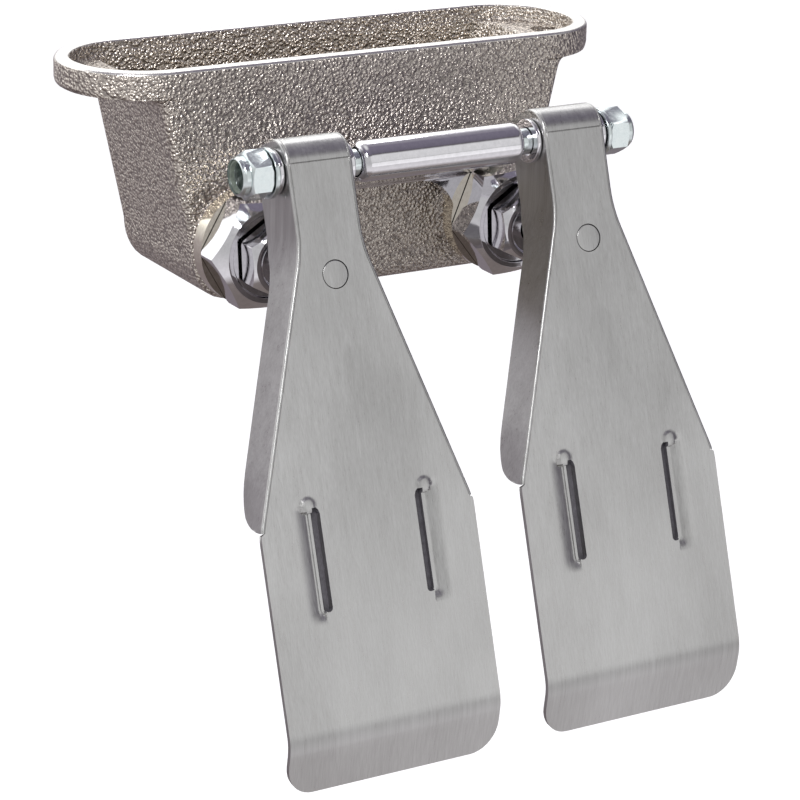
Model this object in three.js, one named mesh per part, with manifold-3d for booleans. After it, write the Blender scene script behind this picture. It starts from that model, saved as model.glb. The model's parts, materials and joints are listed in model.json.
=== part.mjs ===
// A double pedal mixing valve: a cast box body that hangs from its mounting flange, two self-closing
// valves in the front of the body, and two stamped pedals on one hinge rod that push the valves' stems.
// Millimetres, +Z up. The origin is the centre of the flange's mounting face, +X runs along the
// flange, and the pedals stand in front of the body, towards -Y.
import * as THREE from "three";
import { mergeVertices } from "three/addons/utils/BufferGeometryUtils.js";
import Module from "manifold-3d";

const wasm = await Module();
wasm.setup();

// Driving dimensions.
const GAP = 0.3; // clearance between pieces that touch
const FLANGE_LENGTH = 177.8;
const FLANGE_WIDTH = 50.8;
const FLANGE_THICKNESS = 8.3;
const RIM_WIDTH = 4.7;
const EAR_RECESS = 4.8; // from the mounting face down to the ears' floors
const EAR_HOLE_X = 78;
const EAR_HOLE_RADIUS = 4.4;
const BODY_DEPTH = 50.8;
const BODY_BOTTOM = -71.5;
const BODY_HALF_TOP = 68.8; // half length under the flange
const BODY_HALF_LOW = 58.2; // half length where the bottom corners start
const BODY_CORNER_TOP = -56; // height where the bottom corners start
const BODY_EDGE = 3; // rounding along the front and back faces
const WALL = 5;
const STATION_X = 42.6; // each valve and pedal, either side of the middle
const STATION_Z = -52.5; // height of the valve stems
const BOSS_FRONT = -28.2; // front of the cast bosses, along Y
const BOSS_RADIUS = 15.5;
const THREAD_RADIUS = 12.3; // bore that takes the bonnet
const CHAMBER_RADIUS = 10.4; // inlet chamber behind the seat
const CHAMBER_BACK = 14;
const SEAT_FRONT = -7.6;
const SEAT_BACK = -3.6;
const PORT_Y = 5; // inlet spigots
const OUTLET_Y = -10; // mixed outlet spigot
const PORT_TOP = -13;
const PORT_RADIUS = 11;
const PORT_BORE = 7.5;
const CROSS_RADIUS = 8.4; // cast tube that joins both valves to the outlet
const CROSS_BORE = 4;
const HINGE_Y = -64.4;
const HINGE_Z = -21.5;
const ROD_RADIUS = 3.97;
const ROD_HALF = 62.6;
const TUBE_RADIUS = 6.05;
const TUBE_HALF = 27.2;
const LUG_RADIUS = 17.8;
const LUG_FRONT = -33.5;
const LUG_BACK = -28.5;
const LUG_CLEARANCE = 18.9; // the web is spot-faced round the bonnets
const BONNET_FLAT = 31.75; // across flats of the bonnet's hexagon
const BONNET_FRONT = -44.4;
const BONNET_BACK = -13;
const GLAND_FLAT = 20.6;
const GLAND_FRONT = -53;
const STEM_RADIUS = 4.5;
const SHANK_RADIUS = 3;
const PEDAL_TILT = THREE.MathUtils.degToRad(18.35); // at rest the pedals' lower ends lean forward
const SHEET = 1.5; // thickness of the pedals' steel
const FACE = 7.8; // pedal's front face, measured forward from the hinge axis
const WRAP_RADIUS = 7.5; // the sheet curls over the hinge
const NECK_HALF = 10.4;
const NECK_END = 23; // distances down the pedal, from the hinge axis
const FLARE_END = 98.6;
const PLATE_HALF = 34.4;
const BEND_START = 155.5;
const BEND_RADIUS = 14;
const BEND_ANGLE = THREE.MathUtils.degToRad(27);
const PEDAL_END = 173.4;
const PLATE_CORNER = 8.5;
const EAR_BACK = -10.4; // back edge of the side flanges beside the hinge
const FLANGE_BACK = -7.5; // and further down
const STUD_DOWN = 30.6; // the contact stud, down the pedal from the hinge axis
const STUD_RADIUS = 4.2;
const RIB_TOP = 94; // the pressed ribs, down the pedal from the hinge axis
const RIB_LENGTH = 29.6;
const RIB_SLOPE_OUT = 23; // across from the pedal's middle: a rib slopes in from here
const RIB_BAR_OUT = 19.75; // to a flat bar
const RIB_BAR_IN = 17.95; // beside a deep trough
const TROUGH_IN = 15.4;
const RIB_DEPTH = 1.1; // of the bar, behind the face
const TROUGH_DEPTH = 2.2;
const PRESSED_WALL = 0.8;
const BUSH_RADIUS = 5; // bushes in the pedals' ears
const BUSH_FLANGE = 6.6;
const BUSH_FLANGE_THICKNESS = 1.4;
const NUT_FLAT = 12.7; // across flats of the rod's lock nuts
const NUT_HEIGHT = 9;
const NUT_CROWN = 2.4; // the round crown that holds the nylon ring
const CROWN_RADIUS = 5.7;
const WASHER_RADIUS = 7.4;
const WASHER_THICKNESS = 1.3;
const STEM_TIP = -77.6;
const DISC_BACK = 4.6;
const DISC_RADIUS = 8.6;
const GLAND_BORE = 8.2; // pocket in the bonnet for the packing and the gland nut's plug
const SEAT_BORE = 5.6;
const SPRING_TURNS = 3;
const SPRING_RADIUS = 6.2;
const WIRE_RADIUS = 0.7;

// Materials.
const finish = (color, roughness, metalness) =>
  new THREE.MeshStandardMaterial({ color, roughness, metalness });
const castNickel = () => finish(0xa89f95, 0.55, 0.9);
const chrome = () => finish(0xc9c9cc, 0.12, 1);
const zinc = () => finish(0xc4ccca, 0.3, 0.9);
const brushedSteel = () => finish(0xa8a8a6, 0.38, 0.95);
const brass = () => finish(0xb59a5a, 0.35, 0.9);
const rubber = () => finish(0x2a2a2c, 0.8, 0);
const nylon = () => finish(0x4e564f, 0.6, 0);

// Solids: three.js shapes made into closed manifold solids, so that they can be joined and cut.
function solid(geometry) {
  const bare = geometry.index ? geometry.toNonIndexed() : geometry.clone();
  bare.deleteAttribute("normal");
  bare.deleteAttribute("uv");
  const merged = mergeVertices(bare, 1e-4);
  return new wasm.Manifold(
    new wasm.Mesh({
      numProp: 3,
      vertProperties: merged.attributes.position.array,
      triVerts: new Uint32Array(merged.index.array),
    }),
  );
}

function geometryOf(manifold) {
  const mesh = manifold.getMesh();
  const geometry = new THREE.BufferGeometry();
  const positions = new THREE.BufferAttribute(new Float32Array(mesh.vertProperties), 3);
  geometry.setAttribute("position", positions);
  geometry.setIndex(new THREE.BufferAttribute(new Uint32Array(mesh.triVerts), 1));
  geometry.computeVertexNormals();
  return geometry;
}

function named(name, manifold, material) {
  const mesh = new THREE.Mesh(geometryOf(manifold), material);
  mesh.name = name;
  return mesh;
}

const union = (solids) => solids.reduce((sum, next) => sum.add(next));
const cut = (from, tools) => tools.reduce((rest, tool) => rest.subtract(tool), from);
const polygon = (points) => new THREE.Shape(points.map(([x, y]) => new THREE.Vector2(x, y)));

// A shape drawn in X and Z, given depth along Y from y0 to y1.
function alongY(shape, y0, y1, segments = 12) {
  const geometry = new THREE.ExtrudeGeometry(shape, {
    depth: y1 - y0,
    bevelEnabled: false,
    curveSegments: segments,
  });
  return solid(geometry.rotateX(Math.PI / 2).translate(0, y1, 0));
}

// A shape drawn in Y and Z, given length along X from x0 to x1.
function alongX(shape, x0, x1, segments = 12) {
  const geometry = new THREE.ExtrudeGeometry(shape, {
    depth: x1 - x0,
    bevelEnabled: false,
    curveSegments: segments,
  });
  return solid(geometry.rotateX(Math.PI / 2).rotateZ(Math.PI / 2).translate(x0, 0, 0));
}

// A shape drawn in X and Y, given height along Z from z0 to z1.
function alongZ(shape, z0, z1, segments = 12) {
  const geometry = new THREE.ExtrudeGeometry(shape, {
    depth: z1 - z0,
    bevelEnabled: false,
    curveSegments: segments,
  });
  return solid(geometry.translate(0, 0, z0));
}

function box(low, high) {
  const size = high.map((value, i) => value - low[i]);
  const middle = high.map((value, i) => (value + low[i]) / 2);
  return solid(new THREE.BoxGeometry(...size).translate(...middle));
}

// Round bars along each axis.
function barY(radius, y0, y1, x = 0, z = 0, sides = 32) {
  const bar = new THREE.CylinderGeometry(radius, radius, y1 - y0, sides);
  return solid(bar.translate(x, (y0 + y1) / 2, z));
}

function barX(radius, x0, x1, y = 0, z = 0, sides = 32) {
  const bar = new THREE.CylinderGeometry(radius, radius, x1 - x0, sides);
  return solid(bar.rotateZ(Math.PI / 2).translate((x0 + x1) / 2, y, z));
}

function barZ(radius, z0, z1, x = 0, y = 0, sides = 32) {
  const bar = new THREE.CylinderGeometry(radius, radius, z1 - z0, sides);
  return solid(bar.rotateX(Math.PI / 2).translate(x, y, (z0 + z1) / 2));
}

// A solid turned about the Y axis line, from [radius, y] points that start and end on the axis.
function turned(points, sides = 32) {
  return solid(new THREE.LatheGeometry(points.map(([r, y]) => new THREE.Vector2(r, y)), sides));
}

// A hexagon in the plane of its two coordinates, with one corner at the given angle.
function hexagon(acrossFlats, cornerAngle) {
  const radius = acrossFlats / Math.sqrt(3);
  const corners = [0, 1, 2, 3, 4, 5].map((i) => cornerAngle + (i * Math.PI) / 3);
  return polygon(corners.map((a) => [radius * Math.cos(a), radius * Math.sin(a)]));
}

function stadium(length, width) {
  const radius = width / 2;
  const reach = length / 2 - radius;
  const shape = new THREE.Shape();
  shape.absarc(reach, 0, radius, -Math.PI / 2, Math.PI / 2, false);
  shape.absarc(-reach, 0, radius, Math.PI / 2, (3 * Math.PI) / 2, false);
  shape.closePath();
  return shape;
}

// The body's outline in X and Z, drawn in by a margin: sloped ends and rounded bottom corners.
function bodyOutline(top, margin) {
  const bottom = BODY_BOTTOM + margin;
  const slope = (BODY_HALF_TOP - BODY_HALF_LOW) / (-FLANGE_THICKNESS - BODY_CORNER_TOP);
  const halfAt = (z) => BODY_HALF_LOW + slope * (z - BODY_CORNER_TOP) - margin;
  const cornerStart = BODY_CORNER_TOP + margin / 2;
  const flat = BODY_HALF_LOW - 14; // half length of the flat bottom
  const shape = new THREE.Shape();
  shape.moveTo(-halfAt(top), top);
  shape.lineTo(-halfAt(cornerStart), cornerStart);
  shape.quadraticCurveTo(-halfAt(bottom + 2), bottom + 1, -flat, bottom);
  shape.lineTo(flat, bottom);
  shape.quadraticCurveTo(halfAt(bottom + 2), bottom + 1, halfAt(cornerStart), cornerStart);
  shape.lineTo(halfAt(top), top);
  shape.closePath();
  return shape;
}

function valveBody() {
  const shell = new THREE.ExtrudeGeometry(bodyOutline(-2, BODY_EDGE), {
    depth: BODY_DEPTH - 2 * BODY_EDGE,
    bevelThickness: BODY_EDGE,
    bevelSize: BODY_EDGE,
    bevelSegments: 3,
    curveSegments: 6,
  });
  const block = solid(shell.rotateX(Math.PI / 2).translate(0, BODY_DEPTH / 2 - BODY_EDGE, 0));
  const flange = alongZ(stadium(FLANGE_LENGTH, FLANGE_WIDTH), -FLANGE_THICKNESS, 0, 14);
  const recess = stadium(FLANGE_LENGTH - 2 * RIM_WIDTH, FLANGE_WIDTH - 2 * RIM_WIDTH);
  const inside = BODY_DEPTH / 2 - WALL;
  const hollow = alongY(bodyOutline(-EAR_RECESS + 1, WALL - 2), -inside, inside, 6);
  const open = cut(flange.add(block.intersect(box([-90, -30, -80], [90, 30, -1]))), [
    alongZ(recess, -EAR_RECESS, 1, 14),
    hollow,
    barZ(EAR_HOLE_RADIUS, -20, 1, -EAR_HOLE_X, 0, 20),
    barZ(EAR_HOLE_RADIUS, -20, 1, EAR_HOLE_X, 0, 20),
  ]);
  const barrels = [];
  const bores = [];
  for (const x of [-STATION_X, STATION_X]) {
    barrels.push(barY(BOSS_RADIUS, BOSS_FRONT, CHAMBER_BACK + 4, x, STATION_Z));
    barrels.push(barZ(PORT_RADIUS, STATION_Z, PORT_TOP, x, PORT_Y, 24));
    bores.push(barY(THREAD_RADIUS, BOSS_FRONT - 1, SEAT_BACK, x, STATION_Z));
    bores.push(barY(CHAMBER_RADIUS, SEAT_BACK - 1, CHAMBER_BACK, x, STATION_Z));
    bores.push(barZ(PORT_BORE, STATION_Z, PORT_TOP + 1, x, PORT_Y, 24));
  }
  barrels.push(barX(CROSS_RADIUS, -STATION_X, STATION_X, OUTLET_Y, STATION_Z, 24));
  barrels.push(barZ(PORT_RADIUS, STATION_Z, PORT_TOP, 0, OUTLET_Y, 24));
  bores.push(barX(CROSS_BORE, -STATION_X, STATION_X, OUTLET_Y, STATION_Z, 16));
  bores.push(barZ(PORT_BORE, STATION_Z, PORT_TOP + 1, 0, OUTLET_Y, 24));
  return cut(union([open, ...barrels]), bores);
}

// The hinge yoke: a tube for the rod, a bent web and two ring lugs that the bonnets clamp.
function yoke() {
  const front = new THREE.Shape();
  const shoulder = 1.45; // angle on the lug's circle where the sloping side meets it
  const inner = THREE.MathUtils.degToRad(165); // and where the web's arch leaves it
  const archEnd = STATION_X + LUG_RADIUS * Math.cos(inner);
  const archEndZ = STATION_Z + LUG_RADIUS * Math.sin(inner);
  front.moveTo(-TUBE_HALF + 1, HINGE_Z + 4);
  front.lineTo(TUBE_HALF - 1, HINGE_Z + 4);
  front.lineTo(TUBE_HALF, HINGE_Z - 6);
  front.lineTo(TUBE_HALF + 3, HINGE_Z - 12);
  front.absarc(STATION_X, STATION_Z, LUG_RADIUS, shoulder, inner - 2 * Math.PI, true);
  front.quadraticCurveTo(22, -39.5, 13, -39);
  front.lineTo(-13, -39);
  front.quadraticCurveTo(-22, -39.5, -archEnd, archEndZ);
  front.absarc(-STATION_X, STATION_Z, LUG_RADIUS, Math.PI - inner, Math.PI - shoulder, true);
  front.lineTo(-TUBE_HALF - 3, HINGE_Z - 12);
  front.lineTo(-TUBE_HALF, HINGE_Z - 6);
  front.closePath();
  const side = polygon([
    [HINGE_Y + 1, HINGE_Z + 4.6],
    [HINGE_Y - 2, HINGE_Z - 5],
    [LUG_FRONT, HINGE_Z - 17],
    [LUG_FRONT, -80],
    [LUG_BACK, -80],
    [LUG_BACK, HINGE_Z - 10],
  ]);
  const plate = alongY(front, HINGE_Y - 6, LUG_BACK, 10).intersect(alongX(side, -70, 70));
  const tube = barX(TUBE_RADIUS, -TUBE_HALF, TUBE_HALF, HINGE_Y, HINGE_Z, 36);
  return cut(plate.add(tube), [
    barX(ROD_RADIUS + GAP, -40, 40, HINGE_Y, HINGE_Z, 28),
    barY(THREAD_RADIUS + 0.2, LUG_FRONT - 1, LUG_BACK + 1, -STATION_X, STATION_Z),
    barY(THREAD_RADIUS + 0.2, LUG_FRONT - 1, LUG_BACK + 1, STATION_X, STATION_Z),
    barY(LUG_CLEARANCE, HINGE_Y - 20, LUG_FRONT, -STATION_X, STATION_Z),
    barY(LUG_CLEARANCE, HINGE_Y - 20, LUG_FRONT, STATION_X, STATION_Z),
  ]);
}

// Pedal pieces are drawn at the hinge axis, upright: +Y towards the body and -Z down the pedal.
// An offset strip round a run of [y, z] points makes the bent sheet's section.
function strip(points, thickness) {
  const back = points.map((p, i) => {
    const before = points[Math.max(i - 1, 0)];
    const after = points[Math.min(i + 1, points.length - 1)];
    const length = Math.hypot(after[0] - before[0], after[1] - before[1]);
    const normal = [-(after[1] - before[1]) / length, (after[0] - before[0]) / length];
    return [p[0] + normal[0] * thickness, p[1] + normal[1] * thickness];
  });
  return polygon([...points, ...back.reverse()]);
}

function pedalSection() {
  const run = [];
  const wrapCentre = [WRAP_RADIUS - FACE, 1.7];
  const wrapEnd = 110;
  for (let degrees = wrapEnd; degrees > 0; degrees -= 10) {
    const a = THREE.MathUtils.degToRad(degrees);
    run.push([wrapCentre[0] - WRAP_RADIUS * Math.cos(a), wrapCentre[1] + WRAP_RADIUS * Math.sin(a)]);
  }
  run.push([-FACE, wrapCentre[1]]);
  for (let step = 0; step <= 4; step++) {
    const a = (BEND_ANGLE * step) / 4;
    run.push([-FACE + BEND_RADIUS * (1 - Math.cos(a)), -BEND_START - BEND_RADIUS * Math.sin(a)]);
  }
  const bendBottom = BEND_START + BEND_RADIUS * Math.sin(BEND_ANGLE);
  const bendBack = -FACE + BEND_RADIUS * (1 - Math.cos(BEND_ANGLE));
  run.push([bendBack + (PEDAL_END - bendBottom) * Math.tan(BEND_ANGLE), -PEDAL_END]);
  return strip(run, SHEET);
}

// The pedal's outline in X and Z, drawn in by a margin.
function pedalOutline(margin) {
  const neck = NECK_HALF - margin;
  const plate = PLATE_HALF - margin;
  const bottom = -PEDAL_END + margin;
  const corner = PLATE_CORNER - margin;
  const shape = new THREE.Shape();
  shape.moveTo(neck, 20);
  shape.lineTo(neck, -NECK_END + 6);
  shape.quadraticCurveTo(neck, -NECK_END, neck + 2, -NECK_END - 6);
  shape.lineTo(plate - 0.6, -FLARE_END + 1.5);
  shape.quadraticCurveTo(plate, -FLARE_END - 0.5, plate, -FLARE_END - 3);
  shape.lineTo(plate, bottom + corner);
  shape.absarc(plate - corner, bottom + corner, corner, 0, -Math.PI / 2, true);
  shape.absarc(-plate + corner, bottom + corner, corner, -Math.PI / 2, -Math.PI, true);
  shape.lineTo(-plate, -FLARE_END - 3);
  shape.quadraticCurveTo(-plate, -FLARE_END - 0.5, -plate + 0.6, -FLARE_END + 1.5);
  shape.lineTo(-neck - 2, -NECK_END - 6);
  shape.quadraticCurveTo(-neck, -NECK_END, -neck, -NECK_END + 6);
  shape.lineTo(-neck, 20);
  shape.closePath();
  return shape;
}

// The side flanges' outline in Y and Z: round the hinge, down the back edge and round at the end.
function sideOutline() {
  const shape = new THREE.Shape();
  shape.moveTo(-FACE, 1.7);
  shape.absarc(-FACE + WRAP_RADIUS, 1.7, WRAP_RADIUS, Math.PI, Math.PI / 2, true);
  shape.lineTo(1.8, 9.2);
  shape.quadraticCurveTo(-EAR_BACK - 1.2, 9.2, -EAR_BACK, 0);
  shape.lineTo(-EAR_BACK, -NECK_END);
  shape.quadraticCurveTo(-FLANGE_BACK, -NECK_END - 8, -FLANGE_BACK, -NECK_END - 14);
  shape.lineTo(-FLANGE_BACK, -FLARE_END + 16);
  shape.quadraticCurveTo(-FLANGE_BACK + 1.6, -FLARE_END + 9, -FLANGE_BACK - 1.6, -FLARE_END + 4);
  shape.quadraticCurveTo(2, -FLARE_END - 0.4, -FACE + 1, -FLARE_END);
  shape.lineTo(-FACE, -FLARE_END);
  shape.closePath();
  return shape;
}

// What a rib's pressing takes out of the sheet's front, in X and Y, on the side given by the sign.
function ribHollow(side) {
  const shape = new THREE.Shape();
  shape.moveTo(side * TROUGH_IN, -FACE - SHEET);
  shape.lineTo(side * TROUGH_IN, -FACE + TROUGH_DEPTH);
  shape.lineTo(side * RIB_BAR_IN, -FACE + TROUGH_DEPTH);
  shape.lineTo(side * RIB_BAR_IN, -FACE + RIB_DEPTH);
  shape.lineTo(side * RIB_BAR_OUT, -FACE + RIB_DEPTH);
  shape.lineTo(side * RIB_SLOPE_OUT, -FACE);
  shape.lineTo(side * RIB_SLOPE_OUT, -FACE - SHEET);
  shape.closePath();
  return shape;
}

// The sheet that is pushed out of its back there.
function ribBack(side) {
  const deepest = -FACE + TROUGH_DEPTH + PRESSED_WALL;
  const shape = new THREE.Shape();
  shape.moveTo(side * (TROUGH_IN - PRESSED_WALL), -FACE + SHEET / 2);
  shape.lineTo(side * (TROUGH_IN - PRESSED_WALL), deepest);
  shape.lineTo(side * (RIB_BAR_IN + PRESSED_WALL), deepest);
  shape.lineTo(side * (RIB_BAR_OUT + PRESSED_WALL), -FACE + RIB_DEPTH + PRESSED_WALL);
  shape.lineTo(side * RIB_SLOPE_OUT, -FACE + SHEET / 2);
  shape.closePath();
  return shape;
}

function pedal() {
  const plate = alongX(pedalSection(), -40, 40).intersect(alongY(pedalOutline(0), -30, 30, 8));
  const walls = alongY(pedalOutline(0), -30, 30, 8).subtract(alongY(pedalOutline(SHEET), -31, 31, 8));
  const sides = walls.intersect(alongX(sideOutline(), -40, 40, 8));
  const ribEnd = -RIB_TOP - RIB_LENGTH;
  const ribs = [-1, 1].map((side) => alongZ(ribBack(side), ribEnd - PRESSED_WALL, -RIB_TOP + PRESSED_WALL));
  const cuts = [-1, 1].map((side) => alongZ(ribHollow(side), ribEnd, -RIB_TOP));
  cuts.push(barX(BUSH_RADIUS + GAP, -20, 20, 0, 0, 28));
  cuts.push(barY(STUD_RADIUS, -20, 0, 0, -STUD_DOWN, 28));
  return cut(union([plate, sides, ...ribs]), cuts);
}

// A stud riveted through the pedal, flush in front, with a domed head that meets the valve's stem.
function contactStud() {
  const radius = STUD_RADIUS - GAP;
  const inside = -FACE + SHEET;
  return solid(
    new THREE.LatheGeometry(
      [
        [0, -FACE],
        [radius, -FACE],
        [radius, inside + GAP],
        [5.6, inside + GAP],
        [5.6, inside + 0.9],
        [3.6, inside + 1.6],
        [0, inside + 1.9],
      ].map(([r, y]) => new THREE.Vector2(r, y)),
      28,
    ).translate(0, 0, -STUD_DOWN),
  );
}

// Small turned and hexagonal pieces.
// A flanged bush through a pedal's ear. It is drawn with its flange towards +X.
function bushing() {
  const sleeve = barX(BUSH_RADIUS, -SHEET - 0.2, 0.1, 0, 0, 28);
  const flange = barX(BUSH_FLANGE, 0, BUSH_FLANGE_THICKNESS, 0, 0, 28);
  return cut(sleeve.add(flange), [barX(ROD_RADIUS + GAP, -9, 9, 0, 0, 28)]);
}

// A lock nut with its crown towards +X.
function lockNut() {
  const cornerRadius = NUT_FLAT / Math.sqrt(3) + 0.05;
  const body = alongX(hexagon(NUT_FLAT, Math.PI / 2), 0, NUT_HEIGHT - NUT_CROWN);
  const profile = [
    [0, 0],
    [NUT_FLAT / 2 + 0.25, 0],
    [cornerRadius, 0.9],
    [cornerRadius, NUT_HEIGHT - NUT_CROWN - 0.9],
    [CROWN_RADIUS, NUT_HEIGHT - NUT_CROWN],
    [CROWN_RADIUS, NUT_HEIGHT - 0.6],
    [CROWN_RADIUS - 0.4, NUT_HEIGHT],
    [0, NUT_HEIGHT],
  ];
  const lathe = new THREE.LatheGeometry(profile.map(([r, y]) => new THREE.Vector2(r, y)), 28);
  const envelope = solid(lathe.rotateZ(-Math.PI / 2));
  const crown = barX(CROWN_RADIUS, NUT_HEIGHT - NUT_CROWN - 0.1, NUT_HEIGHT, 0, 0, 28);
  return cut(body.add(crown).intersect(envelope), [
    barX(ROD_RADIUS + GAP, -1, NUT_HEIGHT + 1, 0, 0, 28),
    barX(CROWN_RADIUS - 0.55, NUT_HEIGHT - NUT_CROWN + 0.2, NUT_HEIGHT + 1, 0, 0, 28),
  ]);
}

const insert = () =>
  cut(barX(CROWN_RADIUS - 0.85, NUT_HEIGHT - NUT_CROWN + 0.5, NUT_HEIGHT - 0.7, 0, 0, 28), [
    barX(ROD_RADIUS + GAP, -1, NUT_HEIGHT + 1, 0, 0, 28),
  ]);
const washer = () =>
  cut(barX(WASHER_RADIUS, 0, WASHER_THICKNESS, 0, 0, 28), [barX(ROD_RADIUS + GAP, -1, 9, 0, 0, 28)]);

// Valve pieces are drawn on the stem's axis, with the part's own Y.
function bonnet(cornerAngle) {
  const hex = alongY(hexagon(BONNET_FLAT, cornerAngle), BONNET_FRONT, LUG_FRONT - GAP);
  const chamfer = turned([
    [0, LUG_FRONT],
    [18.4, LUG_FRONT],
    [18.4, BONNET_FRONT + 3.2],
    [14.4, BONNET_FRONT],
    [0, BONNET_FRONT],
  ].reverse());
  const barrel = barY(THREAD_RADIUS - GAP, LUG_FRONT - 1, BONNET_BACK);
  return cut(hex.intersect(chamfer).add(barrel), [
    barY(STEM_RADIUS + GAP, -50, -20, 0, 0, 24),
    barY(GLAND_BORE, BONNET_FRONT - 1, BONNET_FRONT + 9, 0, 0, 28),
    barY(SHANK_RADIUS + GAP, -21, 0, 0, 0, 20),
  ]);
}

function glandNut(cornerAngle) {
  const hex = alongY(hexagon(GLAND_FLAT, cornerAngle), GLAND_FRONT, BONNET_FRONT - GAP);
  const chamfer = turned([
    [0, BONNET_FRONT],
    [12, BONNET_FRONT],
    [12, GLAND_FRONT + 1.6],
    [9.6, GLAND_FRONT],
    [0, GLAND_FRONT],
  ].reverse());
  const plug = barY(GLAND_BORE - GAP, BONNET_FRONT - 1, BONNET_FRONT + 5, 0, 0, 28);
  return cut(hex.intersect(chamfer).add(plug), [barY(STEM_RADIUS + GAP, -60, -30, 0, 0, 24)]);
}

const packing = () =>
  cut(barY(GLAND_BORE - GAP, BONNET_FRONT + 5.3, BONNET_FRONT + 8.6, 0, 0, 24), [
    barY(STEM_RADIUS + GAP, -60, -20, 0, 0, 24),
  ]);

// The stem pushes the seat washer off the seat, backwards. Its domed tip rests on the pedal's stud.
function stem() {
  return turned([
    [0, STEM_TIP],
    [2.4, STEM_TIP + 0.35],
    [3.9, STEM_TIP + 1.4],
    [STEM_RADIUS, STEM_TIP + 3],
    [STEM_RADIUS, -27],
    [SHANK_RADIUS, -26],
    [SHANK_RADIUS, DISC_BACK + 1],
    [0, DISC_BACK + 1],
  ], 24);
}

const seatRing = () =>
  cut(barY(THREAD_RADIUS - GAP, SEAT_FRONT, SEAT_BACK - 0.05), [barY(SEAT_BORE, -9, 0, 0, 0, 24)]);
const seatWasher = () =>
  cut(barY(DISC_RADIUS - 0.6, SEAT_BACK + GAP, SEAT_BACK + 3, 0, 0, 24), [
    barY(SHANK_RADIUS + GAP, -9, 3, 0, 0, 20),
  ]);
const discHolder = () =>
  cut(barY(DISC_RADIUS, SEAT_BACK + 3.3, DISC_BACK, 0, 0, 24), [barY(SHANK_RADIUS + GAP, -9, 9, 0, 0, 20)]);

// The closing spring is a coil of round wire between the disc holder and the end of the chamber.
function closingSpring() {
  const start = DISC_BACK + 1.1;
  const end = CHAMBER_BACK - 1.1;
  class Helix extends THREE.Curve {
    getPoint(t, target = new THREE.Vector3()) {
      const a = 2 * Math.PI * SPRING_TURNS * t;
      const y = start + (end - start) * t;
      return target.set(SPRING_RADIUS * Math.cos(a), y, SPRING_RADIUS * Math.sin(a));
    }
  }
  const wire = new THREE.Shape().absarc(0, 0, WIRE_RADIUS, 0, 2 * Math.PI);
  return solid(
    new THREE.ExtrudeGeometry(wire, {
      extrudePath: new Helix(),
      steps: 48,
      curveSegments: 4,
      bevelEnabled: false,
    }),
  );
}

// Assembly.
const assembly = new THREE.Group();
assembly.add(named("valve_body", valveBody(), castNickel()));
assembly.add(named("hinge_yoke", yoke(), chrome()));
assembly.add(named("hinge_rod", barX(ROD_RADIUS, -ROD_HALF, ROD_HALF, HINGE_Y, HINGE_Z, 24), zinc()));

const stations = [
  { side: "left", x: -STATION_X, out: -1, bonnetCorner: Math.PI },
  { side: "right", x: STATION_X, out: 1, bonnetCorner: THREE.MathUtils.degToRad(248) },
];

for (const { side, x, out, bonnetCorner } of stations) {
  const valve = new THREE.Group();
  valve.position.set(x, 0, STATION_Z);
  // The hexagons' shapes have X to the right and Y upwards before they are turned to face the front.
  valve.add(named(`bonnet_${side}`, bonnet(bonnetCorner), chrome()));
  valve.add(named(`gland_nut_${side}`, glandNut(THREE.MathUtils.degToRad(33)), chrome()));
  valve.add(named(`gland_packing_${side}`, packing(), rubber()));
  valve.add(named(`stem_${side}`, stem(), chrome()));
  valve.add(named(`seat_ring_${side}`, seatRing(), brass()));
  valve.add(named(`seat_washer_${side}`, seatWasher(), rubber()));
  valve.add(named(`disc_holder_${side}`, discHolder(), brass()));
  valve.add(named(`closing_spring_${side}`, closingSpring(), finish(0x9a9a9a, 0.3, 1)));
  assembly.add(valve);

  const lever = new THREE.Group();
  lever.position.set(x, HINGE_Y, HINGE_Z);
  lever.rotation.x = -PEDAL_TILT;
  lever.add(named(`pedal_${side}`, pedal(), brushedSteel()));
  lever.add(named(`contact_stud_${side}`, contactStud(), brushedSteel()));
  for (const [place, sign] of [["outer", out], ["inner", -out]]) {
    const bush = named(`pivot_bushing_${side}_${place}`, bushing(), chrome());
    bush.rotation.y = sign > 0 ? 0 : Math.PI;
    bush.position.x = sign * (NECK_HALF + GAP);
    lever.add(bush);
  }
  assembly.add(lever);

  const end = new THREE.Group();
  end.position.set(x + out * (NECK_HALF + BUSH_FLANGE_THICKNESS + 2 * GAP), HINGE_Y, HINGE_Z);
  end.rotation.y = out > 0 ? 0 : Math.PI;
  end.add(named(`nut_washer_${side}`, washer(), zinc()));
  const nut = named(`lock_nut_${side}`, lockNut(), zinc());
  nut.position.x = WASHER_THICKNESS + GAP;
  end.add(nut);
  const ring = named(`nut_insert_${side}`, insert(), nylon());
  ring.position.x = WASHER_THICKNESS + GAP;
  end.add(ring);
  assembly.add(end);
}

export default assembly;
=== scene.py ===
"""Looks of the double pedal mixing valve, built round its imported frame. Shapes are in millimetres until
they become Blender meshes, which are in metres and in the frame's own axes."""
import json
import math

import bmesh
import bpy
from mathutils import Matrix, Vector


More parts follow.
